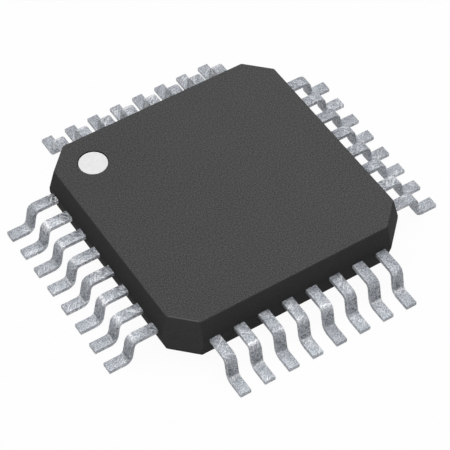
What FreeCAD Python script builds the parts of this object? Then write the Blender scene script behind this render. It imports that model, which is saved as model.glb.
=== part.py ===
# Thin quad flat pack: a drafted eight-sided moulding, 32 gull-wing leads, and inside it the die,
# its plate, the film under it and the wires from the die to the leads.
#
# Millimetres, +Z up. The origin is the middle of the seating plane, which the feet stand on.
# The mark for lead 1 is at the -X +Y corner. Leads are numbered anticlockwise from it, seen from
# above: row 1 on the -X side, row 2 on -Y, row 3 on +X and row 4 on +Y.

import FreeCAD, Part
import math
import os
import Sketcher

# Driving sizes: name, value, and what it measures.
SIZES = (
    ("leads_per_side", "8", "leads in each row"),
    ("lead_pitch", "0.5", "centre to centre of two leads"),
    ("row_margin", "0.75", "centre of a row's end lead to the side of the moulding"),
    ("body_thick", "0.95", "moulding, bottom face to top face"),
    ("standoff", "0.05", "seating plane to the bottom face"),
    ("corner_cut", "0.51", "each leg of a cut corner, at the parting line"),
    ("mould_draft", "13", "lean of the sides above and below the parting line, degrees"),
    ("edge_round", "0.02", "rounding of the top and bottom edges of the moulding"),
    ("mark_dia", "0.545", "white mark for lead 1, diameter"),
    ("mark_from_left", "0.815", "centre of the mark to the -X side"),
    ("mark_from_back", "0.755", "centre of the mark to the +Y side"),
    ("mark_recess", "0.025", "depth of the recess that holds the mark"),
    ("mark_thick", "0.01", "thickness of the paint of the mark"),
    ("mark_rim", "0.006", "bare rim round the mark, inside the recess"),
    ("frame_height", "0.465", "seating plane to the underside of the lead frame"),
    ("strip_thick", "0.09", "thickness of the strip that leads and plate are stamped from"),
    ("lead_width", "0.22", "width of a lead outside the moulding"),
    ("lead_reach", "1.0", "side of the moulding to the toe of a lead"),
    ("shoulder_run", "0.4", "flat of a lead from the moulding to its first bend"),
    ("lead_slope", "79", "steepness of a lead between its bends, degrees"),
    ("shoulder_bend", "0.072", "inner radius of the first bend"),
    ("foot_bend", "0.094", "inner radius of the second bend"),
    ("root_run", "0.2", "full-width part of a lead inside the moulding"),
    ("tip_width", "0.14", "width of a lead at its inner tip"),
    ("tip_gap", "0.22", "plate edge to the row of inner tips"),
    ("pad_side", "2.5", "side of the plate that carries the die"),
    ("pad_downset", "0.12", "plate below the level of the leads"),
    ("tie_bar_width", "0.16", "width of the four bars that held the plate in its frame"),
    ("tie_gap", "0.2", "tie bar to the end tip of a row"),
    ("tie_cover", "0.08", "moulding over the end of a tie bar"),
    ("downset_slope", "45", "steepness of the bend in a tie bar, degrees"),
    ("downset_land", "0.05", "corner of the plate to the bend in its tie bar"),
    ("attach_thick", "0.02", "film between plate and die"),
    ("attach_spread", "0.04", "film beyond the edge of the die"),
    ("die_side", "2.3", "side of the die"),
    ("die_thick", "0.2", "thickness of the die"),
    ("bond_inset", "0.09", "edge of the die to the foot of a wire"),
    ("wire_dia", "0.025", "wire, across its flats"),
    ("wire_rise", "0.1", "height of a wire's loop above the die"),
    ("stitch_run", "0.06", "length of wire welded down on a lead"),
    ("stitch_from_tip", "0.11", "inner tip of a lead to the end of its wire"),
)

# Places that follow from the driving sizes: name, formula, and what it is.
LAYOUT = (
    ("half_row", "(Sizes.leads_per_side - 1) / 2", "steps from the middle of a row to its end"),
    ("half_side", "half_row * Sizes.lead_pitch + Sizes.row_margin", "middle to the parting line"),
    ("body_top", "Sizes.standoff + Sizes.body_thick", "top face"),
    ("frame_top", "Sizes.frame_height + Sizes.strip_thick", "upper side of the lead frame"),
    ("toe", "half_side + Sizes.lead_reach", "middle to a toe"),
    ("shoulder", "half_side + Sizes.shoulder_run", "middle to the start of the first bend"),
    ("root", "half_side - Sizes.root_run", "middle to where a lead starts to narrow"),
    ("slope_sin", "sin(Sizes.lead_slope * 1 deg)", "rise of the slope for its length"),
    ("slope_cos", "cos(Sizes.lead_slope * 1 deg)", "run of the slope for its length"),
    ("upper_centre", "Sizes.frame_height - Sizes.shoulder_bend", "height of the first bend's centre"),
    ("lower_centre", "Sizes.foot_bend + Sizes.strip_thick", "height of the second bend's centre"),
    ("both_bends", "Sizes.shoulder_bend + Sizes.strip_thick + Sizes.foot_bend", "radii together"),
    ("slope_run", "(upper_centre - lower_centre + both_bends * slope_cos) / slope_sin", "slope length"),
    ("sole", "shoulder + both_bends * slope_sin + slope_run * slope_cos", "middle to the flat of a foot"),
    ("tips", "Sizes.pad_side / 2 + Sizes.tip_gap", "middle to the row of inner tips"),
    ("tip_edge", "tips - sqrt(2) * (Sizes.tie_bar_width / 2 + Sizes.tie_gap)", "end tip, far edge"),
    ("tip_pitch", "(tip_edge - Sizes.tip_width / 2) / half_row", "centre to centre of two tips"),
    ("pad_top", "frame_top - Sizes.pad_downset", "upper side of the plate"),
    ("pad_corner", "Sizes.pad_side / sqrt(2)", "middle to a corner of the plate"),
    ("bar_end", "(2 * half_side - Sizes.corner_cut) / sqrt(2) - Sizes.tie_cover", "end of a tie bar"),
    ("die_under", "pad_top + Sizes.attach_thick", "underside of the die"),
    ("die_top", "die_under + Sizes.die_thick", "upper side of the die"),
    ("bonds", "Sizes.die_side / 2 - Sizes.bond_inset", "middle to the feet of the wires"),
    ("stitches", "tips + Sizes.stitch_from_tip", "middle to the ends of the wires"),
)

# Each row of leads: its name and its turn from the +Y side, in quarters.
ROWS = (("left", 1), ("front", 2), ("right", 3), ("back", 4))

# Where the mark is.
MARK_X = "(Sizes.mark_from_left - Layout.half_side)"
MARK_Y = "(Layout.half_side - Sizes.mark_from_back)"

QUARTER_TURN = 90
HALF_TURN = 180
FULL_TURN = 360
WIRE_FLATS = 6
SAME_HEIGHT = 1e-5

doc = FreeCAD.newDocument("quad_flat_pack")


def add_sheet(name, rows, lead_in):
    """Write one named value a line, with its note beside it."""
    sheet = doc.addObject("Spreadsheet::Sheet", name)
    for line, (alias, content, note) in enumerate(rows, start=1):
        sheet.set(f"A{line}", note)
        sheet.set(f"B{line}", lead_in + content)
        sheet.setAlias(f"B{line}", alias)
    doc.recompute()
    return sheet


add_sheet("Sizes", SIZES, "")
layout = add_sheet("Layout", LAYOUT, "=")


def worth(formula):
    """The value of a formula at the present sizes, to draw a sketch near its solution."""
    result = layout.evalExpression(formula)
    return float(getattr(result, "Value", result))


def add_body(label):
    body = doc.addObject("PartDesign::Body", label)
    body.Label = label
    return body


def origin_part(body, role):
    return next(part for part in body.Origin.OriginFeatures if part.Role == role)


def add_sketch(body, name, plane, level):
    """An empty sketch on one of the body's own planes, moved along its normal to a level."""
    sketch = body.newObject("Sketcher::SketchObject", name)
    sketch.AttachmentSupport = [(origin_part(body, plane), "")]
    sketch.MapMode = "FlatFace"
    sketch.setExpression("AttachmentOffset.Base.z", level)
    return sketch


def add_path(sketch, points, closed=True, bends=None):
    """Edges through points that are pairs of formulas, measured from the sketch's origin. An edge
    named in bends is an arc of that radius, which turns left, or right if the radius is negative."""
    bends = bends or {}
    spots = [FreeCAD.Vector(worth(across), worth(up), 0) for across, up in points]
    count = len(spots) if closed else len(spots) - 1
    edges = []
    ends = []
    for edge in range(count):
        start = spots[edge]
        end = spots[(edge + 1) % len(spots)]
        if edge in bends:
            edges.append(arc_between(start, end, worth(bends[edge])))
            ends.append((1, 2) if worth(bends[edge]) > 0 else (2, 1))
        else:
            edges.append(Part.LineSegment(start, end))
            ends.append((1, 2))
    sketch.addGeometry(edges, False)

    rules = []
    for edge in range(count if closed else count - 1):
        after = (edge + 1) % count
        rules.append((None, Sketcher.Constraint("Coincident", edge, ends[edge][1], after, ends[after][0])))
    for index, (across, up) in enumerate(points):
        edge, end = (index, ends[index][0]) if index < count else (index - 1, ends[index - 1][1])
        rules.append((across, Sketcher.Constraint("DistanceX", -1, 1, edge, end, spots[index].x)))
        rules.append((up, Sketcher.Constraint("DistanceY", -1, 1, edge, end, spots[index].y)))
    for edge, radius in bends.items():
        rules.append((f"abs({radius})", Sketcher.Constraint("Radius", edge, abs(worth(radius)))))
    follow(sketch, rules)


def arc_between(start, end, radius):
    """The shorter arc from start to end, to the left of its way in or, if negative, to the right."""
    chord = end - start
    rise = abs(radius) - math.sqrt(radius * radius - chord.dot(chord) / 4)
    outward = FreeCAD.Vector(chord.y, -chord.x, 0).normalize()
    return Part.Arc(start, (start + end) * 0.5 + outward * math.copysign(rise, radius), end)


def follow(sketch, rules):
    """Add constraints, each with the formula that its value follows, or None."""
    first = len(sketch.Constraints)
    sketch.addConstraint([constraint for formula, constraint in rules])
    for index, (formula, constraint) in enumerate(rules, start=first):
        if formula is not None:
            sketch.setExpression(f"Constraints[{index}]", formula)


def add_pad(body, name, sketch, length, midplane=False):
    pad = body.newObject("PartDesign::Pad", name)
    pad.Profile = sketch
    pad.setExpression("Length", length)
    if midplane:
        pad.SideType = "Symmetric"
    return pad


def square(half):
    """Corners of a square about the origin."""
    return ((f"-{half}", f"-{half}"), (half, f"-{half}"), (half, half), (f"-{half}", half))


def eight_sides(half, cut):
    """Corners of a square with its corners cut, about the origin."""
    short = f"({half} - {cut})"
    return (
        (f"-{short}", f"-{half}"), (short, f"-{half}"),
        (half, f"-{short}"), (half, short),
        (short, half), (f"-{short}", half),
        (f"-{half}", short), (f"-{half}", f"-{short}"),
    )


def flat_edges(shape, height):
    """Names of the edges that lie flat at a height."""
    return [
        f"Edge{index}" for index, edge in enumerate(shape.Edges, start=1)
        if spans(edge, height, height)
    ]


def side_faces(shape, low, high):
    """Names of the faces that stand between two heights."""
    return [
        f"Face{index}" for index, face in enumerate(shape.Faces, start=1)
        if spans(face, low, high)
    ]


def spans(shape, low, high):
    box = shape.BoundBox
    return abs(box.ZMin - low) < SAME_HEIGHT and abs(box.ZMax - high) < SAME_HEIGHT


def add_draft(body, name, base, level, low, high, downwards):
    """Lean the side faces between two heights inwards, away from a level where they stay put."""
    hinge = body.newObject("PartDesign::Plane", name + "_plane")
    hinge.AttachmentSupport = [(origin_part(body, "XY_Plane"), "")]
    hinge.MapMode = "FlatFace"
    hinge.setExpression("AttachmentOffset.Base.z", level)
    draft = body.newObject("PartDesign::Draft", name)
    draft.Base = (base, side_faces(base.Shape, worth(low), worth(high)))
    draft.NeutralPlane = (hinge, [""])
    draft.Reversed = downwards
    draft.setExpression("Angle", "Sizes.mould_draft")
    draft.Refine = False
    doc.recompute()
    if draft.Shape.Volume >= base.Shape.Volume:
        raise RuntimeError(f"{name} didn't lean inwards")
    return draft


def make_mould_blank():
    """The moulding before its inside is taken out: a plain band as high as the lead frame, with a
    drafted half above it and another below it, rounded edges, and the recess of the mark."""
    body = add_body("mould_blank")
    bottom = "Sizes.standoff"
    low = "Sizes.frame_height"
    high = "Layout.frame_top"
    top = "Layout.body_top"
    for name, start, height, down in (
        ("parting_band", low, "Sizes.strip_thick", False),
        ("upper_half", high, f"{top} - {high}", False),
        ("lower_half", low, f"{low} - {bottom}", True),
    ):
        sketch = add_sketch(body, name + "_outline", "XY_Plane", start)
        add_path(sketch, eight_sides("Layout.half_side", "Sizes.corner_cut"))
        pad = add_pad(body, name, sketch, height)
        pad.Reversed = down
        pad.Refine = False
    doc.recompute()
    upper = add_draft(body, "upper_draft", pad, high, high, top, downwards=False)
    lower = add_draft(body, "lower_draft", upper, low, bottom, low, downwards=True)

    rounding = body.newObject("PartDesign::Fillet", "edge_rounding")
    rounding.Base = (lower, flat_edges(lower.Shape, worth(top)) + flat_edges(lower.Shape, worth(bottom)))
    rounding.setExpression("Radius", "Sizes.edge_round")

    ring = add_sketch(body, "mark_recess_outline", "XY_Plane", top)
    centre = FreeCAD.Vector(worth(MARK_X), worth(MARK_Y), 0)
    radius = "Sizes.mark_dia / 2 + Sizes.mark_rim"
    ring.addGeometry(Part.Circle(centre, FreeCAD.Vector(0, 0, 1), worth(radius)), False)
    follow(ring, [
        (radius, Sketcher.Constraint("Radius", 0, worth(radius))),
        (MARK_X, Sketcher.Constraint("DistanceX", -1, 1, 0, 3, centre.x)),
        (MARK_Y, Sketcher.Constraint("DistanceY", -1, 1, 0, 3, centre.y)),
    ])
    recess = body.newObject("PartDesign::Pocket", "mark_recess_pocket")
    recess.Profile = ring
    recess.setExpression("Length", "Sizes.mark_recess")
    doc.recompute()
    if recess.Shape.Volume >= rounding.Shape.Volume:
        raise RuntimeError("the recess of the mark cut nothing")
    return body


def make_mark():
    """The disc of paint on the floor of its recess."""
    mark = doc.addObject("Part::Cylinder", "pin_one_mark")
    mark.Label = "pin_one_mark"
    mark.setExpression("Radius", "Sizes.mark_dia / 2")
    mark.setExpression("Height", "Sizes.mark_thick")
    mark.setExpression("Placement.Base.x", MARK_X)
    mark.setExpression("Placement.Base.y", MARK_Y)
    mark.setExpression("Placement.Base.z", "Layout.body_top - Sizes.mark_recess")
    return mark


def on_bend(centre_x, centre_z, radius):
    """Where a bend meets the slope: a point of a circle, in the direction square to the slope."""
    return f"{centre_x} + {radius} * Layout.slope_sin", f"{centre_z} + {radius} * Layout.slope_cos"


def draw_gull_wing(sketch):
    """Side view of a lead, outwards to the right: shoulder, bend, slope, bend and foot, all of the
    strip's thickness. The slope runs between two pairs of circles that it touches."""
    upper = ("Layout.shoulder", "Layout.upper_centre")
    lower = ("Layout.sole", "Layout.lower_centre")
    outside_upper = "(Sizes.shoulder_bend + Sizes.strip_thick)"
    outside_lower = "(Sizes.foot_bend + Sizes.strip_thick)"
    points = (
        ("Layout.root", "Layout.frame_top"),
        ("Layout.shoulder", "Layout.frame_top"),
        on_bend(*upper, outside_upper),
        on_bend(*lower, "(-Sizes.foot_bend)"),
        ("Layout.sole", "Sizes.strip_thick"),
        ("Layout.toe", "Sizes.strip_thick"),
        ("Layout.toe", "0"),
        ("Layout.sole", "0"),
        on_bend(*lower, f"(-{outside_lower})"),
        on_bend(*upper, "Sizes.shoulder_bend"),
        ("Layout.shoulder", "Sizes.frame_height"),
        ("Layout.root", "Sizes.frame_height"),
    )
    add_path(sketch, points, bends={
        1: f"-{outside_upper}",
        3: "Sizes.foot_bend",
        7: f"-{outside_lower}",
        9: "Sizes.shoulder_bend",
    })


def make_lead(number, slot, quarters):
    """One lead, drawn as if on the +Y side and turned to its row. Its outer part is a bent strip,
    and its inner part is a flat finger that narrows and leans towards the die."""
    body = add_body(f"lead_{number:02d}")
    side_view = add_sketch(body, "gull_wing_profile", "YZ_Plane", "0")
    draw_gull_wing(side_view)
    add_pad(body, "gull_wing", side_view, "Sizes.lead_width", midplane=True)

    steps = f"(Layout.half_row - {slot})"
    lean = f"{steps} * (Layout.tip_pitch - Sizes.lead_pitch)"
    finger = add_sketch(body, "finger_outline", "XY_Plane", "Sizes.frame_height")
    corners = (
        ("-Sizes.lead_width / 2", "Layout.root"),
        (f"{lean} - Sizes.tip_width / 2", "Layout.tips"),
        (f"{lean} + Sizes.tip_width / 2", "Layout.tips"),
        ("Sizes.lead_width / 2", "Layout.root"),
    )
    add_path(finger, corners)
    add_pad(body, "finger", finger, "Sizes.strip_thick")

    turn_into_row(body, quarters, f"{steps} * Sizes.lead_pitch")
    return body


def turn_into_row(body, quarters, along):
    """Turn a piece from the +Y side to its row, and move it along the row."""
    body.Placement.Rotation = FreeCAD.Rotation(FreeCAD.Vector(0, 0, 1), QUARTER_TURN * quarters)
    if along:
        body.setExpression("Placement.Base.x", f"{along} * cos({QUARTER_TURN * quarters} deg)")
        body.setExpression("Placement.Base.y", f"{along} * sin({QUARTER_TURN * quarters} deg)")


def make_die_pad():
    """The plate and its tie bars, one stamping with the plate pressed down. There is a bar for each
    corner, so as many as rows of leads. The piece is drawn with the bars along X and Y, and then
    turned so that they point at the cut corners."""
    body = add_body("die_pad")
    plate = add_sketch(body, "plate_outline", "XY_Plane", "Layout.pad_top - Sizes.strip_thick")
    corner = "Layout.pad_corner"
    add_path(plate, ((corner, "0"), ("0", corner), (f"-{corner}", "0"), ("0", f"-{corner}")))
    plate_pad = add_pad(body, "plate", plate, "Sizes.strip_thick")

    low = "(Layout.pad_top - Sizes.strip_thick)"
    start = f"({corner} - Sizes.tie_bar_width)"
    foot = f"({corner} + Sizes.downset_land)"
    head = f"({foot} + Sizes.pad_downset / tan(Sizes.downset_slope * 1 deg))"
    mitre = "Sizes.strip_thick * tan(Sizes.downset_slope * 0.5 deg)"
    bar_view = (
        (start, low),
        (foot, low),
        (head, "Sizes.frame_height"),
        ("Layout.bar_end", "Sizes.frame_height"),
        ("Layout.bar_end", "Layout.frame_top"),
        (f"{head} - {mitre}", "Layout.frame_top"),
        (f"{foot} - {mitre}", "Layout.pad_top"),
        (start, "Layout.pad_top"),
    )
    profile = add_sketch(body, "tie_bar_profile", "XZ_Plane", "0")
    add_path(profile, bar_view)
    bar = add_pad(body, "tie_bar", profile, "Sizes.tie_bar_width", midplane=True)
    doc.recompute()

    ring = body.newObject("PartDesign::PolarPattern", "tie_bars")
    ring.Originals = [bar]
    ring.Axis = (origin_part(body, "Z_Axis"), [""])
    ring.Angle = FULL_TURN
    ring.Occurrences = len(ROWS)
    body.Tip = ring
    doc.recompute()
    if ring.Shape.Volume <= bar.Shape.Volume or bar.Shape.Volume <= plate_pad.Shape.Volume:
        raise RuntimeError("the tie bars added nothing")
    body.Placement.Rotation = FreeCAD.Rotation(FreeCAD.Vector(0, 0, 1), QUARTER_TURN / 2)
    return body


def make_slab(label, half, level, thick):
    """A square plate about the middle of the pack."""
    body = add_body(label)
    sketch = add_sketch(body, label + "_outline", "XY_Plane", level)
    add_path(sketch, square(half))
    add_pad(body, label + "_slab", sketch, thick)
    return body


def make_bond_wires(row, quarters):
    """The wires of one row: up from the die, straight down to the lead, and welded along it. A
    wire has an even number of flats, so that one of them lies on the lead."""
    body = add_body(f"bond_wires_{row}")
    end_wire = "(-Layout.half_row * Layout.tip_pitch)"
    section = add_sketch(body, "wire_section", "XY_Plane", "Layout.die_top")
    radius = f"Sizes.wire_dia / (2 * cos({HALF_TURN / WIRE_FLATS} deg))"
    corners = []
    for corner in range(WIRE_FLATS):
        angle = f"{QUARTER_TURN + (corner + 0.5) * FULL_TURN / WIRE_FLATS} deg"
        corners.append((f"{end_wire} + {radius} * cos({angle})", f"Layout.bonds + {radius} * sin({angle})"))
    add_path(section, corners)

    welded = "Layout.frame_top + Sizes.wire_dia / 2"
    route = (
        ("Layout.bonds", "Layout.die_top"),
        ("Layout.bonds", "Layout.die_top + Sizes.wire_rise"),
        ("Layout.stitches - Sizes.stitch_run", welded),
        ("Layout.stitches", welded),
    )
    path = add_sketch(body, "wire_route", "YZ_Plane", end_wire)
    add_path(path, route, closed=False)
    wire = body.newObject("PartDesign::AdditivePipe", "wire")
    wire.Profile = section
    wire.Spine = (path, [f"Edge{edge}" for edge in range(1, len(route))])
    wire.Transition = "Right corner"
    doc.recompute()

    pattern = body.newObject("PartDesign::LinearPattern", "wire_row")
    pattern.Originals = [wire]
    pattern.Direction = (origin_part(body, "X_Axis"), [""])
    pattern.setExpression("Length", "2 * Layout.half_row * Layout.tip_pitch")
    pattern.setExpression("Occurrences", "Sizes.leads_per_side")
    body.Tip = pattern
    turn_into_row(body, quarters, "")
    return body


def make_mould(blank, inside):
    """The moulding with a seat for every piece that it holds."""
    core = doc.addObject("Part::MultiFuse", "inside_of_the_mould")
    core.Shapes = inside
    mould = doc.addObject("Part::Cut", "mould_body")
    mould.Label = "mould_body"
    mould.Base = blank
    mould.Tool = core
    return mould


def check(pieces):
    """Stop if any object of the document failed or any piece isn't sound."""
    for item in doc.Objects:
        if "Invalid" in item.State or "Error" in item.State:
            raise RuntimeError(f"{item.Name} failed: {item.State}")
    for piece in pieces:
        if piece.Shape.isNull() or not piece.Shape.isValid() or piece.Shape.Volume <= 0:
            raise RuntimeError(f"{piece.Label} has no sound shape")


def main():
    leads_per_side = int(worth("Sizes.leads_per_side"))
    leads = []
    for row, (name, quarters) in enumerate(ROWS):
        for slot in range(leads_per_side):
            leads.append(make_lead(row * leads_per_side + slot + 1, slot, quarters))
    wires = [make_bond_wires(name, quarters) for name, quarters in ROWS]
    film_half = "(Sizes.die_side / 2 + Sizes.attach_spread)"
    inside = [
        make_die_pad(),
        make_slab("die_attach", film_half, "Layout.pad_top", "Sizes.attach_thick"),
        make_slab("silicon_die", "(Sizes.die_side / 2)", "Layout.die_under", "Sizes.die_thick"),
        *leads,
        *wires,
    ]
    blank = make_mould_blank()
    pieces = [make_mould(blank, inside), make_mark(), *inside]
    doc.recompute()
    check(pieces)

    os.makedirs("parts", exist_ok=True)
    for piece in pieces:
        piece.Shape.exportStep(f"parts/{piece.Label}.step")
        print(f"{piece.Label}: {len(piece.Shape.Solids)} solid(s), {piece.Shape.Volume:.5f} mm3")


main()
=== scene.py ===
import math

import bmesh
import bpy
from mathutils import Matrix, Vector


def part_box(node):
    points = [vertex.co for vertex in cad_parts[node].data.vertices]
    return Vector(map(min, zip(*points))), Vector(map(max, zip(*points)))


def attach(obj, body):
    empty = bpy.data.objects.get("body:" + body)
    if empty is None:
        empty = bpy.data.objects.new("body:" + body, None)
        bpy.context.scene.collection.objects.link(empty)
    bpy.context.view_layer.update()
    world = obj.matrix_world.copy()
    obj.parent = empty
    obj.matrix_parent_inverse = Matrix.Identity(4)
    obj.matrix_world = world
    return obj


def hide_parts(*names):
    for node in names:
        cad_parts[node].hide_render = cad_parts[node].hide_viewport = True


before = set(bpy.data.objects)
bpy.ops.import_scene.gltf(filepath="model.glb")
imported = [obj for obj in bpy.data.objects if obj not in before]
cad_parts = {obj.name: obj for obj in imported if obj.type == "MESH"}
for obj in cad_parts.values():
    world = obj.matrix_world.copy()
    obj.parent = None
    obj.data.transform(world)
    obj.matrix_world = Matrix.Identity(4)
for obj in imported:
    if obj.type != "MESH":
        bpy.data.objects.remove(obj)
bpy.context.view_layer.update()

# The pieces are drawn in millimetres and brought to metres at the end.
MM = 0.001


def box_mm(node):
    """The lowest and the highest corner of a node of the frame, in millimetres."""
    low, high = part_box(node)
    return Vector(low) / MM, Vector(high) / MM


MOULD_LOW, MOULD_HIGH = box_mm("mould_body")
MARK_LOW, MARK_HIGH = box_mm("pin_one_mark")
# This lead is at the +X end of the +Y row.
LEAD_LOW, LEAD_HIGH = box_mm("lead_25")

# Moulding. Its roundings are those of the top edges, the bottom edges and the upright edges.
HALF_SIDE = MOULD_HIGH.x
BODY_TOP = MOULD_HIGH.z
BODY_BOTTOM = MOULD_LOW.z
CORNER_CUT = 0.51
DRAFT = math.radians(13)
EDGE_ROUND = 0.02
LOWER_EDGE_ROUND = 0.004
CORNER_ROUND = 0.018
ROUND_SEGMENTS = 4
SAME_LEVEL = 1e-4

# Mark and its recess. The lip of the recess is given as steps out from its radius and down from
# the top of the moulding, and the rim of the mark as steps in from its radius and down from its top.
MARK_CENTRE = (MARK_LOW + MARK_HIGH) / 2
MARK_RADIUS = (MARK_HIGH.x - MARK_LOW.x) / 2
MARK_RIM = ((0.0, 0.004), (0.002, 0.001), (0.006, 0.0))
RECESS_DEPTH = 0.025
RECESS_RADIUS = MARK_RADIUS + 0.013
RECESS_LIP = ((0.004, 0.0), (0.001, 0.0015), (0.0, 0.004), (0.0, RECESS_DEPTH))
CIRCLE_STEPS = 96

# Lead frame. A lead starts to narrow at the root, and its first bend starts at the shoulder. The
# bends are inside radii.
STRIP = 0.09
FRAME_TOP = LEAD_HIGH.z
FRAME_MIDDLE = FRAME_TOP - STRIP / 2
FRAME_UNDER = FRAME_TOP - STRIP
TOE = LEAD_HIGH.y
TIPS = LEAD_LOW.y
ROOT = HALF_SIDE - 0.2
SHOULDER = HALF_SIDE + 0.4
SLOPE = math.radians(79)
SHOULDER_BEND = 0.072
FOOT_BEND = 0.094
BEND_STEPS = 12
SHEARED_EDGE = 0.012
SHEAR_STEPS = 3
TOE_BEVEL = 0.005
TOE_SEGMENTS = 2
TOE_ANGLE = math.radians(55)

# Rows of leads, anticlockwise from the mark.
ROWS = ("left", "front", "right", "back")
QUARTER_TURN = 90
LEADS_PER_SIDE = 8
HALF_ROW = (LEADS_PER_SIDE - 1) / 2
PITCH = 0.5
LEAD_WIDTH = 0.22
TIP_WIDTH = 0.14
TIP_PITCH = (LEAD_LOW.x + TIP_WIDTH / 2) / HALF_ROW

# Finished meshes: where the shading stays sharp, and how near two points are taken as one.
SMOOTH_ANGLE = math.radians(40)
SAME_POINT = 1e-5
NO_LENGTH = 1e-6

# Camera, from the corners of the moulding and the leads in the picture.
VIEW_AZIMUTH = math.radians(-32.149)
VIEW_ELEVATION = math.radians(50.411)
VIEW_ROLL = math.radians(-0.427)
VIEW_ANGLE = math.radians(12.898)
VIEW_DISTANCE = 36.342
VIEW_AIM = Vector((0, 0, 0.4498))
VIEW_SLIDE = (-0.0433, 0.3603)
VIEW_NEAR = 1
VIEW_FAR = 10000

# Light: the sky's brightness straight above and how fast it falls to none at the horizon, and the
# lamp's place, size and level, where level 1 shows a colour as it is written.
SKY = 1.25
SKY_FALL = 2
LAMP_PLACE = Vector((1, 3, 30))
LAMP_SIZE = 28
LAMP_LEVEL = 0.55

# Floor: its half side, how far it is under the feet, its own grey, and how much of it is white.
FLOOR_REACH = 600
FLOOR_DROP = 0.002
FLOOR_GREYS = ((0.3, 0.85), (0.7, 0.87))
FLOOR_WHITE = 0.95


def new_nodes(tree, kinds):
    """Nodes in a tree, with the names that are given beside their kinds."""
    nodes = {}
    for name, kind in kinds.items():
        nodes[name] = tree.nodes.new(kind)
        nodes[name].name = name
    return nodes


def link_nodes(tree, nodes, links):
    """Links in a tree: a node and its output, then a node and its input."""
    for start, output, end, socket in links:
        tree.links.new(nodes[start].outputs[output], nodes[end].inputs[socket])


def new_material(name):
    """A material, its tree and its shader. The tree's node called place has the piece's own
    coordinates."""
    material = bpy.data.materials.new(name)
    material.use_nodes = True
    tree = material.node_tree
    tree.nodes.clear()
    nodes = new_nodes(tree, {
        "shader": "ShaderNodeBsdfPrincipled",
        "output": "ShaderNodeOutputMaterial",
        "place": "ShaderNodeTexCoord",
    })
    link_nodes(tree, nodes, [("shader", "BSDF", "output", "Surface")])
    return material, tree, nodes["shader"]


def noise(tree, fineness, detail=2, roughness=0.55, stretch=(1, 1, 1), turn=(0, 0, 0)):
    """Noise on the piece's own coordinates, with about as many marks in a millimetre as the
    fineness says. They are drawn out along each axis by the stretch, and then turned."""
    mapping = tree.nodes.new("ShaderNodeMapping")
    mapping.vector_type = "TEXTURE"
    mapping.inputs["Scale"].default_value = stretch
    mapping.inputs["Rotation"].default_value = turn
    tree.links.new(tree.nodes["place"].outputs["Object"], mapping.inputs["Vector"])
    texture = tree.nodes.new("ShaderNodeTexNoise")
    texture.inputs["Scale"].default_value = fineness / MM
    texture.inputs["Detail"].default_value = detail
    texture.inputs["Roughness"].default_value = roughness
    tree.links.new(mapping.outputs["Vector"], texture.inputs["Vector"])
    return texture.outputs["Fac"]


def ramp(tree, value, stops):
    """Colours along a value, from pairs of position and grey or colour."""
    node = tree.nodes.new("ShaderNodeValToRGB")
    elements = node.color_ramp.elements
    while len(elements) < len(stops):
        elements.new(0.5)
    for element, (position, colour) in zip(elements, stops):
        element.position = position
        rgb = (colour,) * 3 if isinstance(colour, (int, float)) else colour
        element.color = (*rgb, 1)
    tree.links.new(value, node.inputs["Fac"])
    return node.outputs["Color"]


def spread(tree, value, amounts, over=(0, 1)):
    """An amount that follows a value: the first amount where the value is at the start of its range
    or before it, the second at the end or past it, and a steady change between."""
    node = tree.nodes.new("ShaderNodeMapRange")
    node.inputs["From Min"].default_value = over[0]
    node.inputs["From Max"].default_value = over[1]
    node.inputs["To Min"].default_value = amounts[0]
    node.inputs["To Max"].default_value = amounts[1]
    tree.links.new(value, node.inputs["Value"])
    return node.outputs["Result"]


def product(tree, first, *others):
    """Values multiplied together."""
    result = first
    for other in others:
        node = tree.nodes.new("ShaderNodeMath")
        node.operation = "MULTIPLY"
        tree.links.new(result, node.inputs[0])
        tree.links.new(other, node.inputs[1])
        result = node.outputs[0]
    return result


def mixed_value(tree, first, second, share):
    """Two values mixed: none of the second at share 0, all of it at 1."""
    node = tree.nodes.new("ShaderNodeMix")
    node.inputs["Factor"].default_value = share
    tree.links.new(first, node.inputs["A"])
    tree.links.new(second, node.inputs["B"])
    return node.outputs["Result"]


def cover(tree, colour, second, share):
    """A colour with a second one over it, where the share says."""
    return blend_colours(tree, "MIX", colour, second, share)


def tint(tree, colour, second, share=1.0):
    """A colour multiplied by a second one, all over or where the share says."""
    return blend_colours(tree, "MULTIPLY", colour, second, share)


def blend_colours(tree, mode, colour, second, share):
    """Two colours blended. The share may be a number or vary over the piece, and so may the second
    colour."""
    node = tree.nodes.new("ShaderNodeMix")
    node.data_type = "RGBA"
    node.blend_type = mode
    if isinstance(share, (int, float)):
        node.inputs["Factor"].default_value = share
    else:
        tree.links.new(share, node.inputs["Factor"])
    tree.links.new(colour, node.inputs["A"])
    if isinstance(second, tuple):
        node.inputs["B"].default_value = (*second, 1)
    else:
        tree.links.new(second, node.inputs["B"])
    return node.outputs["Result"]


def add_bump(tree, shader, height, depth, strength):
    """Small hills and hollows, as deep as is given in millimetres."""
    bump = tree.nodes.new("ShaderNodeBump")
    bump.inputs["Distance"].default_value = depth * MM
    bump.inputs["Strength"].default_value = strength
    tree.links.new(height, bump.inputs["Height"])
    tree.links.new(bump.outputs["Normal"], shader.inputs["Normal"])


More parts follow.
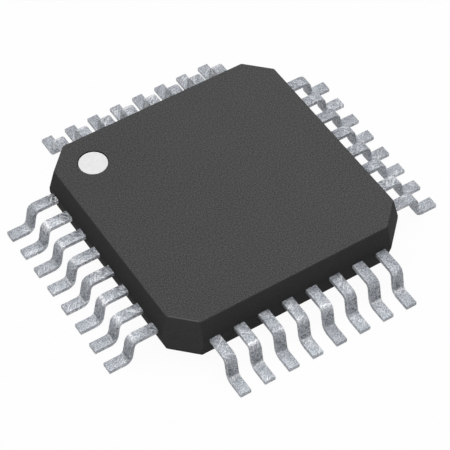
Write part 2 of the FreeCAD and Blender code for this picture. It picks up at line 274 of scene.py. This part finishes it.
def from_middle(tree):
    """Where a point is, in millimetres: how far out from the middle of the pack, how far along its
    row from the middle of the row, and how high."""
    nodes = new_nodes(tree, {
        "scale": "ShaderNodeVectorMath",
        "size": "ShaderNodeVectorMath",
        "parts": "ShaderNodeSeparateXYZ",
        "out": "ShaderNodeMath",
        "along": "ShaderNodeMath",
    })
    nodes["scale"].operation = "SCALE"
    nodes["scale"].inputs["Scale"].default_value = 1 / MM
    nodes["size"].operation = "ABSOLUTE"
    nodes["out"].operation = "MAXIMUM"
    nodes["along"].operation = "MINIMUM"
    tree.links.new(tree.nodes["place"].outputs["Object"], nodes["scale"].inputs[0])
    link_nodes(tree, nodes, [
        ("scale", "Vector", "size", 0),
        ("size", "Vector", "parts", "Vector"),
        ("parts", "X", "out", 0),
        ("parts", "Y", "out", 1),
        ("parts", "X", "along", 0),
        ("parts", "Y", "along", 1),
    ])
    return nodes["out"].outputs[0], nodes["along"].outputs[0], nodes["parts"].outputs["Z"]


def toward(tree, axis, start, end):
    """1 up to a start along an axis and 0 from its end, in millimetres."""
    parts = tree.nodes.new("ShaderNodeSeparateXYZ")
    tree.links.new(tree.nodes["place"].outputs["Object"], parts.inputs["Vector"])
    return spread(tree, parts.outputs[axis], (1, 0), over=(start * MM, end * MM))


def band(tree, value, limits):
    """0 up to the first limit, 1 from the second to the third, and 0 again from the fourth."""
    start, full_from, full_to, end = limits
    rise = spread(tree, value, (0, 1), over=(start, full_from))
    fall = spread(tree, value, (1, 0), over=(full_to, end))
    return product(tree, rise, fall)


def patches(tree, fineness, amounts=(0, 1), over=(0.45, 0.55)):
    """Broad patches, about as wide as a lead or two, with the second amount in them and the first
    amount around them."""
    return spread(tree, noise(tree, fineness, detail=1), amounts, over=over)


# Moulding compound: greys along its grain on the top and on the sides, painted light that makes the top
# lighter from left to right, painted shade on the sides along the rows of leads that leaves the cut
# corners palest, soft clouds over all of it, a painted highlight on one edge and painted shade in the
# recess.
TOP_GREYS = ((0.3, 0.036), (0.5, 0.080), (0.7, 0.127))
SIDE_GREYS = ((0.3, 0.051), (0.7, 0.069))
TOP_PAINTED_LIGHT = (0.95, 1.06)
SIDE_PAINTED_SHADE = (0.85, 1.03)
CLOUD_TONES = ((0.3, 0.96), (0.7, 1.0))
FRONT_EDGE_HIGHLIGHT = (0.147, 0.147, 0.149)
RECESS_PAINTED_SHADE = (0.01, 0.01, 0.01)

# Where these are, in millimetres: the heights at which the side becomes the top, the front corner's
# edge has its painted highlight and the recess its painted shade, how far along a side its cut corner
# starts, how far out the painted shade of the recess may reach, and the stretch of X and of Y over
# which the painted highlight of the front corner ends.
TOP_STARTS = (BODY_TOP - 0.006, BODY_TOP - 0.001)
FRONT_HIGHLIGHT_HEIGHTS = (BODY_TOP - 0.022, BODY_TOP - 0.012, BODY_TOP - 0.004, BODY_TOP)
RECESS_FLOOR = BODY_TOP - RECESS_DEPTH
RECESS_SHADE_HEIGHTS = (RECESS_FLOOR - 0.02, RECESS_FLOOR - 0.01, BODY_TOP - 0.006, BODY_TOP - 0.002)
CORNER_STARTS = (HALF_SIDE - CORNER_CUT - 0.04, HALF_SIDE - CORNER_CUT)
RECESS_SHADE_REACH = (HALF_SIDE - 0.45, HALF_SIDE - 0.4)
FRONT_HIGHLIGHT_ENDS = (-1, 0)


def moulding_compound():
    """Dark filled epoxy: a fine sparkling grain on the top with painted light that grows to the right,
    smoother sides with painted shade along the rows of leads so that they are palest at the cut corners,
    a painted highlight on the top edge of the front corner, and painted shade in the recess round the mark."""
    material, tree, shader = new_material("moulding_compound")
    out, along, height = from_middle(tree)
    grain = noise(tree, fineness=42, roughness=0.6)
    at_corner = spread(tree, along, (0, 1), over=CORNER_STARTS)

    # Painted shade: the sides are darkened along the rows of leads, which shade them, and stay palest at
    # the cut corners.
    sides = tint(tree, ramp(tree, grain, SIDE_GREYS), spread(tree, at_corner, SIDE_PAINTED_SHADE))
    # Painted light: the top is made lighter from left to right.
    leftness = toward(tree, "X", -HALF_SIDE, HALF_SIDE)
    top = tint(tree, ramp(tree, grain, TOP_GREYS), spread(tree, leftness, TOP_PAINTED_LIGHT, over=(1, 0)))
    colour = cover(tree, sides, top, spread(tree, height, (0, 1), over=TOP_STARTS))
    colour = tint(tree, colour, ramp(tree, noise(tree, fineness=1.3, detail=4), CLOUD_TONES))

    # Painted highlight on the top edge of the front corner.
    at_front = product(tree, toward(tree, "X", *FRONT_HIGHLIGHT_ENDS), toward(tree, "Y", *FRONT_HIGHLIGHT_ENDS))
    front_edge_highlight = product(tree, band(tree, height, FRONT_HIGHLIGHT_HEIGHTS), at_corner, at_front)
    colour = cover(tree, colour, FRONT_EDGE_HIGHLIGHT, front_edge_highlight)
    # Painted shade in the recess round the mark.
    recess_shade = product(tree, band(tree, height, RECESS_SHADE_HEIGHTS), spread(tree, out, (1, 0), over=RECESS_SHADE_REACH))
    colour = cover(tree, colour, RECESS_PAINTED_SHADE, recess_shade)

    tree.links.new(colour, shader.inputs["Base Color"])
    tree.links.new(spread(tree, grain, (0.7, 0.9)), shader.inputs["Roughness"])
    shader.inputs["Specular IOR Level"].default_value = 0.03
    add_bump(tree, shader, grain, depth=0.003, strength=0.35)
    return material


# Plated strip: greys along its grain, broad tones over them, the colour of a stain, which also serves as
# painted shade on the slope, and a bright colour for painted highlights and for scratches.
TIN_GREYS = (
    (0.30, (0.07, 0.076, 0.088)),
    (0.42, (0.27, 0.288, 0.32)),
    (0.52, (0.45, 0.477, 0.52)),
    (0.62, (0.65, 0.68, 0.725)),
    (0.73, (0.90, 0.92, 0.94)),
)
TIN_TONES = ((0.38, 0.78), (0.62, 0.97))
STAIN_AND_SHADE = (0.12, 0.128, 0.145)
BRIGHT = (0.95, 0.96, 0.98)

# Where these are, in millimetres: how far out a lead is stained, starts its slope and has a painted
# highlight on its first bend, the heights of its slope and of the painted highlight on the line where its
# foot turns up, how far the painted highlight along its edge is from its own middle line, where Y ends
# the front row, and where X starts the right row, whose bends get no painted highlight.
STAINED_ROOT = (HALF_SIDE + 0.32, HALF_SIDE + 0.05)
SLOPE_STARTS = (SHOULDER, SHOULDER + 0.05)
BEND_HIGHLIGHT_BAND = (SHOULDER + 0.015, SHOULDER + 0.05, SHOULDER + 0.085, SHOULDER + 0.11)
SLOPE_HEIGHTS = (STRIP + 0.03, STRIP + 0.08, FRAME_TOP - 0.13, FRAME_TOP - 0.045)
FOOT_LINE = (STRIP + 0.012, STRIP + 0.02, STRIP + 0.038, STRIP + 0.055)
LEAD_EDGE = LEAD_WIDTH / 2
EDGE_LINE = (LEAD_EDGE - 0.01, LEAD_EDGE - 0.007, LEAD_EDGE - 0.0025, LEAD_EDGE - 0.0005)
FRONT_ROW_ENDS = (-HALF_SIDE, 0.1 - HALF_SIDE)
RIGHT_ROW_STARTS = (HALF_SIDE, SHOULDER)

# How the marks run: the turn of the stains' streaks, and for each set of scratches its turn about
# the upright and how fine its patches are.
STREAK_SLANT = (0, -0.77, 0.785)
SCRATCHES = ((0.9, 2.66), (-0.6, 2.06), (2.2, 3.18))


def matte_tin():
    """Plated strip: grained grey, stained near the moulding, with painted shade in pitted spots on its
    slope, painted highlights in patches on the first bend except on the +X row, along the line where the
    foot turns up and along its edges, and bright patches of fine scratches."""
    material, tree, shader = new_material("matte_tin")
    out, along, height = from_middle(tree)
    fine = noise(tree, fineness=46, roughness=0.65)
    coarse = noise(tree, fineness=9, detail=4, roughness=0.65)
    mottle = mixed_value(tree, fine, coarse, share=0.18)
    colour = tint(tree, ramp(tree, mottle, TIN_GREYS), ramp(tree, noise(tree, fineness=1.5), TIN_TONES))

    colour = tint(tree, colour, STAIN_AND_SHADE, stained_root(tree, out))
    # Painted shade: the slope is darkened in pitted spots.
    past_shoulder = spread(tree, out, (0, 1), over=SLOPE_STARTS)
    on_slope = product(tree, band(tree, height, SLOPE_HEIGHTS), past_shoulder)
    slope_shade_spots = spread(tree, noise(tree, fineness=22, roughness=0.5), (0.65, 0), over=(0.38, 0.46))
    colour = tint(tree, colour, STAIN_AND_SHADE, product(tree, on_slope, slope_shade_spots))

    flecks = noise(tree, fineness=36, roughness=0.6)
    bright_flecks = spread(tree, flecks, (0.1, 0.85), over=(0.42, 0.58))
    # Painted highlight on the first bend, in flecked patches, left off the +X row.
    bend_highlight = product(tree, band(tree, out, BEND_HIGHLIGHT_BAND), bright_flecks, patches(tree, fineness=1.5),
                     toward(tree, "X", *RIGHT_ROW_STARTS))
    colour = cover(tree, colour, BRIGHT, bend_highlight)
    # Painted highlight on the line where the foot turns up, in flecked patches.
    foot_line = product(tree, band(tree, height, FOOT_LINE), bright_flecks,
                        patches(tree, fineness=1.9, amounts=(0.2, 0.9)))
    colour = cover(tree, colour, BRIGHT, foot_line)
    # Painted highlight along the lead's edges, in flecks.
    edges = product(tree, band(tree, from_lead_line(tree, along), EDGE_LINE),
                    spread(tree, flecks, (0.05, 0.4), over=(0.4, 0.55)))
    colour = cover(tree, colour, BRIGHT, edges)
    off_slope = spread(tree, on_slope, (1, 0))
    for turn, fineness in SCRATCHES:
        colour = cover(tree, colour, BRIGHT, product(tree, scratched(tree, turn, fineness), off_slope))

    tree.links.new(colour, shader.inputs["Base Color"])
    tree.links.new(spread(tree, mottle, (0.4, 0.6)), shader.inputs["Roughness"])
    shader.inputs["Metallic"].default_value = 0.45
    add_bump(tree, shader, mottle, depth=0.006, strength=0.6)
    return material


def stained_root(tree, out):
    """How stained a lead is near the moulding: slanting streaks in patches, fainter at the front."""
    streaks = noise(tree, fineness=36, stretch=(1, 4, 4), turn=STREAK_SLANT)
    return product(
        tree,
        spread(tree, out, (0, 1), over=STAINED_ROOT),
        spread(tree, streaks, (0, 1), over=(0.44, 0.56)),
        patches(tree, fineness=1.25, amounts=(0.5, 1)),
        spread(tree, toward(tree, "Y", *FRONT_ROW_ENDS), (1, 0.35)),
    )


def scratched(tree, turn, fineness):
    """How scratched a lead is by fine lines that run one way, in patches as fine as is given."""
    lines = noise(tree, fineness=56, detail=1, stretch=(1, 9, 9), turn=(0, 0, turn))
    return product(
        tree,
        spread(tree, lines, (0, 0.52), over=(0.54, 0.64)),
        patches(tree, fineness, over=(0.55, 0.65)),
    )


def from_lead_line(tree, along):
    """Distance from a lead's own middle line: the leads stand at odd half pitches."""
    fold = tree.nodes.new("ShaderNodeMath")
    fold.operation = "PINGPONG"
    fold.inputs[1].default_value = PITCH / 2
    tree.links.new(along, fold.inputs[0])
    return spread(tree, fold.outputs[0], (PITCH / 2, 0), over=(0, PITCH / 2))


# Finishes of the mark and of what the moulding holds: greys or colours along their grain.
INK_GREYS = ((0.3, 0.81), (0.7, 0.88))
COPPER_TONES = ((0.3, (0.45, 0.2, 0.12)), (0.7, (0.7, 0.4, 0.28)))
GOLD_TONES = ((0.3, (0.75, 0.5, 0.15)), (0.7, (0.95, 0.72, 0.32)))
CHIP_TONES = ((0.1, (0.05, 0.05, 0.09)), (0.7, (0.13, 0.11, 0.17)))
FILM_GREYS = ((0.35, 0.28), (0.65, 0.5))
GLOSS_CHANGE = 0.08
CHIP_BLOCKS = 5


def mark_paint():
    """White ink, a little uneven."""
    material, tree, shader = new_material("mark_paint")
    grain = noise(tree, fineness=14, detail=3)
    tree.links.new(ramp(tree, grain, INK_GREYS), shader.inputs["Base Color"])
    shader.inputs["Roughness"].default_value = 0.6
    shader.inputs["Specular IOR Level"].default_value = 0.3
    add_bump(tree, shader, grain, depth=0.002, strength=0.3)
    return material


def bare_metal(name, tones, fineness, roughness, stretch=(1, 1, 1)):
    """Bare metal: two tones of grain, and the same grain in its gloss."""
    material, tree, shader = new_material(name)
    grain = noise(tree, fineness, detail=4, stretch=stretch)
    gloss = spread(tree, grain, (roughness - GLOSS_CHANGE, roughness + GLOSS_CHANGE))
    tree.links.new(ramp(tree, grain, tones), shader.inputs["Base Color"])
    tree.links.new(gloss, shader.inputs["Roughness"])
    shader.inputs["Metallic"].default_value = 1.0
    add_bump(tree, shader, grain, depth=0.002, strength=0.2)
    return material


def chip_surface():
    """Polished silicon with the faint blocks of its circuit."""
    material, tree, shader = new_material("chip_surface")
    blocks = tree.nodes.new("ShaderNodeTexVoronoi")
    blocks.distance = "CHEBYCHEV"
    blocks.inputs["Scale"].default_value = CHIP_BLOCKS / MM
    tree.links.new(tree.nodes["place"].outputs["Object"], blocks.inputs["Vector"])
    tree.links.new(ramp(tree, blocks.outputs["Distance"], CHIP_TONES), shader.inputs["Base Color"])
    shader.inputs["Metallic"].default_value = 0.4
    shader.inputs["Roughness"].default_value = 0.15
    return material


def attach_film():
    """Silver-filled adhesive."""
    material, tree, shader = new_material("attach_film")
    flakes = noise(tree, fineness=16, detail=3)
    tree.links.new(ramp(tree, flakes, FILM_GREYS), shader.inputs["Base Color"])
    tree.links.new(spread(tree, flakes, (0.4, 0.7)), shader.inputs["Roughness"])
    shader.inputs["Metallic"].default_value = 0.3
    return material


def white_where_seen(tree, shaded, share):
    """White for what looks straight at it, in a mirror or through glass, mixed with the shaded
    surface so that its shadow stays."""
    nodes = new_nodes(tree, {
        "path": "ShaderNodeLightPath",
        "mirror": "ShaderNodeMath",
        "glass": "ShaderNodeMath",
        "share": "ShaderNodeMath",
        "white": "ShaderNodeEmission",
        "mix": "ShaderNodeMixShader",
    })
    nodes["mirror"].operation = "MAXIMUM"
    nodes["glass"].operation = "MAXIMUM"
    nodes["share"].operation = "MULTIPLY"
    nodes["share"].inputs[1].default_value = share
    nodes["white"].inputs["Strength"].default_value = 1.0
    tree.links.new(shaded, nodes["mix"].inputs[1])
    link_nodes(tree, nodes, [
        ("path", "Is Camera Ray", "mirror", 0),
        ("path", "Is Glossy Ray", "mirror", 1),
        ("mirror", 0, "glass", 0),
        ("path", "Is Transmission Ray", "glass", 1),
        ("glass", 0, "share", 0),
        ("share", 0, "mix", "Fac"),
        ("white", 0, "mix", 2),
    ])
    return nodes["mix"].outputs[0]


def add_object(name, data):
    """A new object in the scene."""
    thing = bpy.data.objects.new(name, data)
    bpy.context.scene.collection.objects.link(thing)
    return thing


def piece_from(sketch, name):
    """A finished piece from a mesh that was drawn in millimetres."""
    mesh = bpy.data.meshes.new(name)
    sketch.to_mesh(mesh)
    sketch.free()
    return finish_mesh(add_object(name, mesh))


def finish_mesh(piece):
    """Turn a piece into a plain mesh in metres, with smooth round stretches and sharp edges."""
    depsgraph = bpy.context.evaluated_depsgraph_get()
    mesh = bpy.data.meshes.new_from_object(piece.evaluated_get(depsgraph))
    piece.modifiers.clear()
    piece.data = mesh
    mesh.name = piece.name
    close_seams(mesh)
    mesh.transform(Matrix.Scale(MM, 4))
    for polygon in mesh.polygons:
        polygon.use_smooth = True
    mesh.set_sharp_from_angle(angle=SMOOTH_ANGLE)
    return piece


def close_seams(mesh):
    """Join points that lie on each other and face everything outwards."""
    sketch = bmesh.new()
    sketch.from_mesh(mesh)
    bmesh.ops.remove_doubles(sketch, verts=sketch.verts, dist=SAME_POINT)
    bmesh.ops.dissolve_degenerate(sketch, edges=sketch.edges, dist=NO_LENGTH)
    bmesh.ops.recalc_face_normals(sketch, faces=sketch.faces)
    sketch.to_mesh(mesh)
    sketch.free()


def settle(piece, material, node):
    """Give a piece its finish and put it in place of its node."""
    piece.data.materials.clear()
    piece.data.materials.append(material)
    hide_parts(node)
    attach(piece, "root")


def join_rings(sketch, rings):
    """Faces between each ring of points and the next."""
    for lower, upper in zip(rings, rings[1:]):
        for index, point in enumerate(lower):
            after = (index + 1) % len(lower)
            sketch.faces.new((point, lower[after], upper[after], upper[index]))


def close_ends(sketch, rings):
    """A face under the lowest ring and one over the highest."""
    sketch.faces.new(list(reversed(rings[0])))
    sketch.faces.new(rings[-1])


def round_edges(sketch, edges, radius):
    """Round edges as one, so that they meet smoothly at the corners."""
    bmesh.ops.bevel(sketch, geom=edges, offset=radius, segments=ROUND_SEGMENTS, profile=0.5, affect="EDGES")


def eight_corners(half, cut, height):
    """Corners of a square with cut corners, from its half side and the length of the cut."""
    short = half - cut
    flat = (
        (-short, -half), (short, -half), (half, -short), (half, short),
        (short, half), (-short, half), (-half, short), (-half, -short),
    )
    return [Vector((x, y, height)) for x, y in flat]


def leaned(rise):
    """Half side and corner cut of the moulding at a height above or below its band."""
    inset = rise * math.tan(DRAFT)
    return HALF_SIDE - inset, CORNER_CUT - inset * (2 - math.sqrt(2))


def make_moulding(material):
    """The drafted block with rounded edges and the recess of the mark."""
    sketch = bmesh.new()
    levels = (
        (BODY_BOTTOM, FRAME_UNDER - BODY_BOTTOM),
        (FRAME_UNDER, 0),
        (FRAME_TOP, 0),
        (BODY_TOP, BODY_TOP - FRAME_TOP),
    )
    rings = []
    for height, rise in levels:
        rings.append([sketch.verts.new(corner) for corner in eight_corners(*leaned(rise), height)])
    join_rings(sketch, rings)
    close_ends(sketch, rings)

    upright = [edge for edge in sketch.edges if not lies_at(edge, edge.verts[0].co.z)]
    round_edges(sketch, upright, CORNER_ROUND)
    for level, radius in ((BODY_TOP, EDGE_ROUND), (BODY_BOTTOM, LOWER_EDGE_ROUND)):
        rim = [edge for edge in sketch.edges if lies_at(edge, level)]
        round_edges(sketch, rim, radius)
    sink_recess(sketch)
    settle(piece_from(sketch, "moulding"), material, "mould_body")


def lies_at(edge, level):
    """Whether both ends of an edge are at a level."""
    return all(abs(vert.co.z - level) < SAME_LEVEL for vert in edge.verts)


def circle_of_points(sketch, radius, height):
    """Points of a level circle round the middle of the mark."""
    points = []
    for step in range(CIRCLE_STEPS):
        angle = math.tau * step / CIRCLE_STEPS
        across = MARK_CENTRE.x + radius * math.cos(angle)
        along = MARK_CENTRE.y + radius * math.sin(angle)
        points.append(sketch.verts.new((across, along, height)))
    return points


def sink_recess(sketch):
    """Replace the top face with one that has a round, shallow well in it."""
    top = max(sketch.faces, key=lambda face: (face.calc_center_median().z, face.calc_area()))
    outline = list(top.edges)
    bmesh.ops.delete(sketch, geom=[top], context="FACES_ONLY")
    rings = [circle_of_points(sketch, RECESS_RADIUS + reach, BODY_TOP - drop) for reach, drop in RECESS_LIP]
    join_rings(sketch, rings)
    sketch.faces.new(rings[-1])
    mouth = rings[0]
    for pair in zip(mouth, mouth[1:] + mouth[:1]):
        outline.append(sketch.edges.get(pair))
    bmesh.ops.triangle_fill(sketch, use_beauty=True, edges=outline, normal=(0, 0, 1))


def make_mark(material):
    """The disc of ink, with a soft rim."""
    sketch = bmesh.new()
    rings = [circle_of_points(sketch, MARK_RADIUS, MARK_LOW.z)]
    for inset, drop in MARK_RIM:
        rings.append(circle_of_points(sketch, MARK_RADIUS - inset, MARK_HIGH.z - drop))
    join_rings(sketch, rings)
    close_ends(sketch, rings)
    settle(piece_from(sketch, "mark_disc"), material, "pin_one_mark")


def lead_tree():
    """Geometry nodes that turn the line of a lead into a bent strip: the corners of the line are
    rounded by the bend stored on each, a section with sheared edges follows it, and the strip is
    narrowed towards its tip and turned into its row."""
    tree = bpy.data.node_groups.new("bent_strip", "GeometryNodeTree")
    sockets = {
        "Geometry": "NodeSocketGeometry",
        "Lead width": "NodeSocketFloat",
        "Strip thickness": "NodeSocketFloat",
        "Edge rounding": "NodeSocketFloat",
        "Steps in a bend": "NodeSocketInt",
        "Along the row": "NodeSocketFloat",
        "Turn of the row": "NodeSocketFloat",
        "Finish": "NodeSocketMaterial",
    }
    for name, kind in sockets.items():
        tree.interface.new_socket(name, in_out="INPUT", socket_type=kind)
    tree.interface.new_socket("Geometry", in_out="OUTPUT", socket_type="NodeSocketGeometry")
    nodes = new_nodes(tree, {
        "given": "NodeGroupInput",
        "line": "GeometryNodeMeshToCurve",
        "bend": "GeometryNodeInputNamedAttribute",
        "fillet": "GeometryNodeFilletCurve",
        "upright": "GeometryNodeSetCurveNormal",
        "where": "GeometryNodeInputPosition",
        "keep": "GeometryNodeCaptureAttribute",
        "section": "GeometryNodeCurvePrimitiveQuadrilateral",
        "soften": "GeometryNodeFilletCurve",
        "sweep": "GeometryNodeCurveToMesh",
        "share": "GeometryNodeInputNamedAttribute",
        "now": "GeometryNodeInputPosition",
        "away": "ShaderNodeVectorMath",
        "narrow": "ShaderNodeCombineXYZ",
        "scaled": "ShaderNodeVectorMath",
        "move": "GeometryNodeSetPosition",
        "offset": "ShaderNodeCombineXYZ",
        "slide": "GeometryNodeTransform",
        "turn": "ShaderNodeCombineXYZ",
        "swing": "GeometryNodeTransform",
        "solid": "GeometryNodeRealizeInstances",
        "finish": "GeometryNodeSetMaterial",
        "result": "NodeGroupOutput",
    })
    for name in ("fillet", "soften"):
        nodes[name].mode = "POLY"
        nodes[name].inputs["Limit Radius"].default_value = True
    nodes["soften"].inputs["Count"].default_value = SHEAR_STEPS
    nodes["upright"].mode = "Z_UP"
    nodes["keep"].capture_items.new("VECTOR", "middle")
    nodes["sweep"].inputs["Fill Caps"].default_value = True
    for name, attribute in (("bend", "bend"), ("share", "share_of_width")):
        nodes[name].data_type = "FLOAT"
        nodes[name].inputs["Name"].default_value = attribute
    nodes["away"].operation = "SUBTRACT"
    nodes["narrow"].inputs["Y"].default_value = 1.0
    nodes["narrow"].inputs["Z"].default_value = 1.0
    nodes["scaled"].operation = "MULTIPLY_ADD"
    link_nodes(tree, nodes, [
        ("given", "Geometry", "line", "Mesh"),
        ("line", "Curve", "fillet", "Curve"),
        ("given", "Steps in a bend", "fillet", "Count"),
        ("bend", "Attribute", "fillet", "Radius"),
        ("fillet", "Curve", "upright", "Curve"),
        ("upright", "Curve", "keep", "Geometry"),
        ("where", "Position", "keep", "middle"),
        ("given", "Lead width", "section", "Width"),
        ("given", "Strip thickness", "section", "Height"),
        ("section", "Curve", "soften", "Curve"),
        ("given", "Edge rounding", "soften", "Radius"),
        ("keep", "Geometry", "sweep", "Curve"),
        ("soften", "Curve", "sweep", "Profile Curve"),
        ("now", "Position", "away", 0),
        ("keep", "middle", "away", 1),
        ("share", "Attribute", "narrow", "X"),
        ("away", "Vector", "scaled", 0),
        ("narrow", "Vector", "scaled", 1),
        ("keep", "middle", "scaled", 2),
        ("sweep", "Mesh", "move", "Geometry"),
        ("scaled", "Vector", "move", "Position"),
        ("given", "Along the row", "offset", "X"),
        ("move", "Geometry", "slide", "Geometry"),
        ("offset", "Vector", "slide", "Translation"),
        ("given", "Turn of the row", "turn", "Z"),
        ("slide", "Geometry", "swing", "Geometry"),
        ("turn", "Vector", "swing", "Rotation"),
        ("swing", "Geometry", "solid", "Geometry"),
        ("solid", "Geometry", "finish", "Geometry"),
        ("given", "Finish", "finish", "Material"),
        ("finish", "Geometry", "result", "Geometry"),
    ])
    return tree


def lead_line(steps):
    """The middle line of a lead on the +Y side, with sharp corners, and what is stored on each: its
    bend and its share of the lead's width. Steps is the lead's place, counted from the middle of
    its row."""
    lean = steps * (TIP_PITCH - PITCH)
    upper_bend = SHOULDER_BEND + STRIP / 2
    lower_bend = FOOT_BEND + STRIP / 2
    shoulder = SHOULDER + upper_bend * math.tan(SLOPE / 2)
    heel = shoulder + (FRAME_MIDDLE - STRIP / 2) / math.tan(SLOPE)
    line = (
        ((lean, TIPS, FRAME_MIDDLE), 0, TIP_WIDTH / LEAD_WIDTH),
        ((0, ROOT, FRAME_MIDDLE), 0, 1),
        ((0, shoulder, FRAME_MIDDLE), upper_bend, 1),
        ((0, heel, STRIP / 2), lower_bend, 1),
        ((0, TOE, STRIP / 2), 0, 1),
    )
    mesh = bpy.data.meshes.new("lead_line")
    runs = [(index, index + 1) for index in range(len(line) - 1)]
    mesh.from_pydata([point for point, bend, share in line], runs, [])
    bends = mesh.attributes.new("bend", "FLOAT", "POINT")
    shares = mesh.attributes.new("share_of_width", "FLOAT", "POINT")
    for index, (point, bend, share) in enumerate(line):
        bends.data[index].value = bend
        shares.data[index].value = share
    return mesh


def bevel_toe(piece):
    """Break the edges of a lead's cut ends."""
    bevel = piece.modifiers.new("edges", "BEVEL")
    bevel.width = TOE_BEVEL
    bevel.segments = TOE_SEGMENTS
    bevel.limit_method = "ANGLE"
    bevel.angle_limit = TOE_ANGLE


def make_leads(material):
    """One bent strip for each lead, counted anticlockwise from the mark."""
    tree = lead_tree()
    sockets = {item.name: item.identifier for item in tree.interface.items_tree if item.in_out == "INPUT"}
    for number in range(len(ROWS) * LEADS_PER_SIDE):
        row, place = divmod(number, LEADS_PER_SIDE)
        steps = HALF_ROW - place
        piece = add_object(f"bent_lead_{number + 1:02d}", lead_line(steps))
        strip = piece.modifiers.new("strip", "NODES")
        strip.node_group = tree
        given = {
            "Lead width": LEAD_WIDTH,
            "Strip thickness": STRIP,
            "Edge rounding": SHEARED_EDGE,
            "Steps in a bend": BEND_STEPS,
            "Along the row": steps * PITCH,
            "Turn of the row": math.radians(QUARTER_TURN * (row + 1)),
            "Finish": material,
        }
        for name, amount in given.items():
            strip[sockets[name]] = amount
        bevel_toe(piece)
        settle(finish_mesh(piece), material, f"lead_{number + 1:02d}")


def dress_inside():
    """Finishes for what the moulding holds. The copper's grain is drawn out along X, as it was
    rolled."""
    gold = bare_metal("drawn_gold", GOLD_TONES, fineness=12, roughness=0.25)
    finishes = {
        "die_pad": bare_metal("bare_copper", COPPER_TONES, fineness=24, roughness=0.4, stretch=(8, 1, 1)),
        "die_attach": attach_film(),
        "silicon_die": chip_surface(),
    }
    for row in ROWS:
        finishes[f"bond_wires_{row}"] = gold
    for node, material in finishes.items():
        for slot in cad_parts[node].material_slots:
            slot.material = material


def make_floor():
    """A plain white sheet, just under the feet."""
    reach = FLOOR_REACH * MM
    low = -FLOOR_DROP * MM
    corners = [(-reach, -reach, low), (reach, -reach, low), (reach, reach, low), (-reach, reach, low)]
    mesh = bpy.data.meshes.new("floor")
    mesh.from_pydata(corners, [], [(0, 1, 2, 3)])
    material, tree, shader = new_material("white_floor")
    tree.links.new(ramp(tree, noise(tree, fineness=0.04), FLOOR_GREYS), shader.inputs["Base Color"])
    shader.inputs["Roughness"].default_value = 0.9
    shader.inputs["Specular IOR Level"].default_value = 0.1
    seen = white_where_seen(tree, shader.outputs["BSDF"], FLOOR_WHITE)
    tree.links.new(seen, tree.nodes["output"].inputs["Surface"])
    mesh.materials.append(material)
    floor = add_object("floor", mesh)


def light_the_room():
    """A white surround that lights softly from above, and a wide lamp near the part."""
    world = bpy.data.worlds.new("surround")
    bpy.context.scene.world = world
    world.use_nodes = True
    tree = world.node_tree
    tree.nodes.clear()
    nodes = new_nodes(tree, {
        "direction": "ShaderNodeTexCoord",
        "parts": "ShaderNodeSeparateXYZ",
        "fall": "ShaderNodeMath",
        "sky": "ShaderNodeBackground",
        "output": "ShaderNodeOutputWorld",
    })
    link_nodes(tree, nodes, [("direction", "Generated", "parts", "Vector")])
    nodes["fall"].operation = "POWER"
    nodes["fall"].inputs[1].default_value = SKY_FALL
    tree.links.new(spread(tree, nodes["parts"].outputs["Z"], (0, 1)), nodes["fall"].inputs[0])
    tree.links.new(spread(tree, nodes["fall"].outputs[0], (0, SKY)), nodes["sky"].inputs["Strength"])
    seen = white_where_seen(tree, nodes["sky"].outputs[0], 1.0)
    tree.links.new(seen, nodes["output"].inputs["Surface"])

    lamp = bpy.data.lights.new("overhead_lamp", "AREA")
    lamp.size = LAMP_SIZE * MM
    spot = LAMP_PLACE * MM
    lamp.energy = LAMP_LEVEL * (math.pi * spot.length) ** 2
    holder = add_object("overhead_lamp", lamp)
    holder.location = spot
    holder.rotation_mode = "QUATERNION"
    holder.rotation_quaternion = (-spot).to_track_quat("-Z", "Y")


def set_camera():
    """The camera of the picture: back, right and up are its own axes."""
    back = Vector((
        math.sin(VIEW_AZIMUTH) * math.cos(VIEW_ELEVATION),
        -math.cos(VIEW_AZIMUTH) * math.cos(VIEW_ELEVATION),
        math.sin(VIEW_ELEVATION),
    ))
    level_right = Vector((0, 0, 1)).cross(back).normalized()
    level_up = back.cross(level_right)
    right = math.cos(VIEW_ROLL) * level_right + math.sin(VIEW_ROLL) * level_up
    up = math.cos(VIEW_ROLL) * level_up - math.sin(VIEW_ROLL) * level_right
    lens = bpy.data.cameras.new("camera")
    lens.angle = VIEW_ANGLE
    lens.clip_start = VIEW_NEAR * MM
    lens.clip_end = VIEW_FAR * MM
    camera = add_object("camera", lens)
    place = VIEW_AIM + back * VIEW_DISTANCE - right * VIEW_SLIDE[0] - up * VIEW_SLIDE[1]
    camera.matrix_world = Matrix.Translation(place * MM) @ Matrix((right, up, back)).transposed().to_4x4()
    bpy.context.scene.camera = camera


bpy.context.scene.view_settings.view_transform = "Standard"
set_camera()
light_the_room()
make_floor()
make_moulding(moulding_compound())
make_mark(mark_paint())
make_leads(matte_tin())
dress_inside()
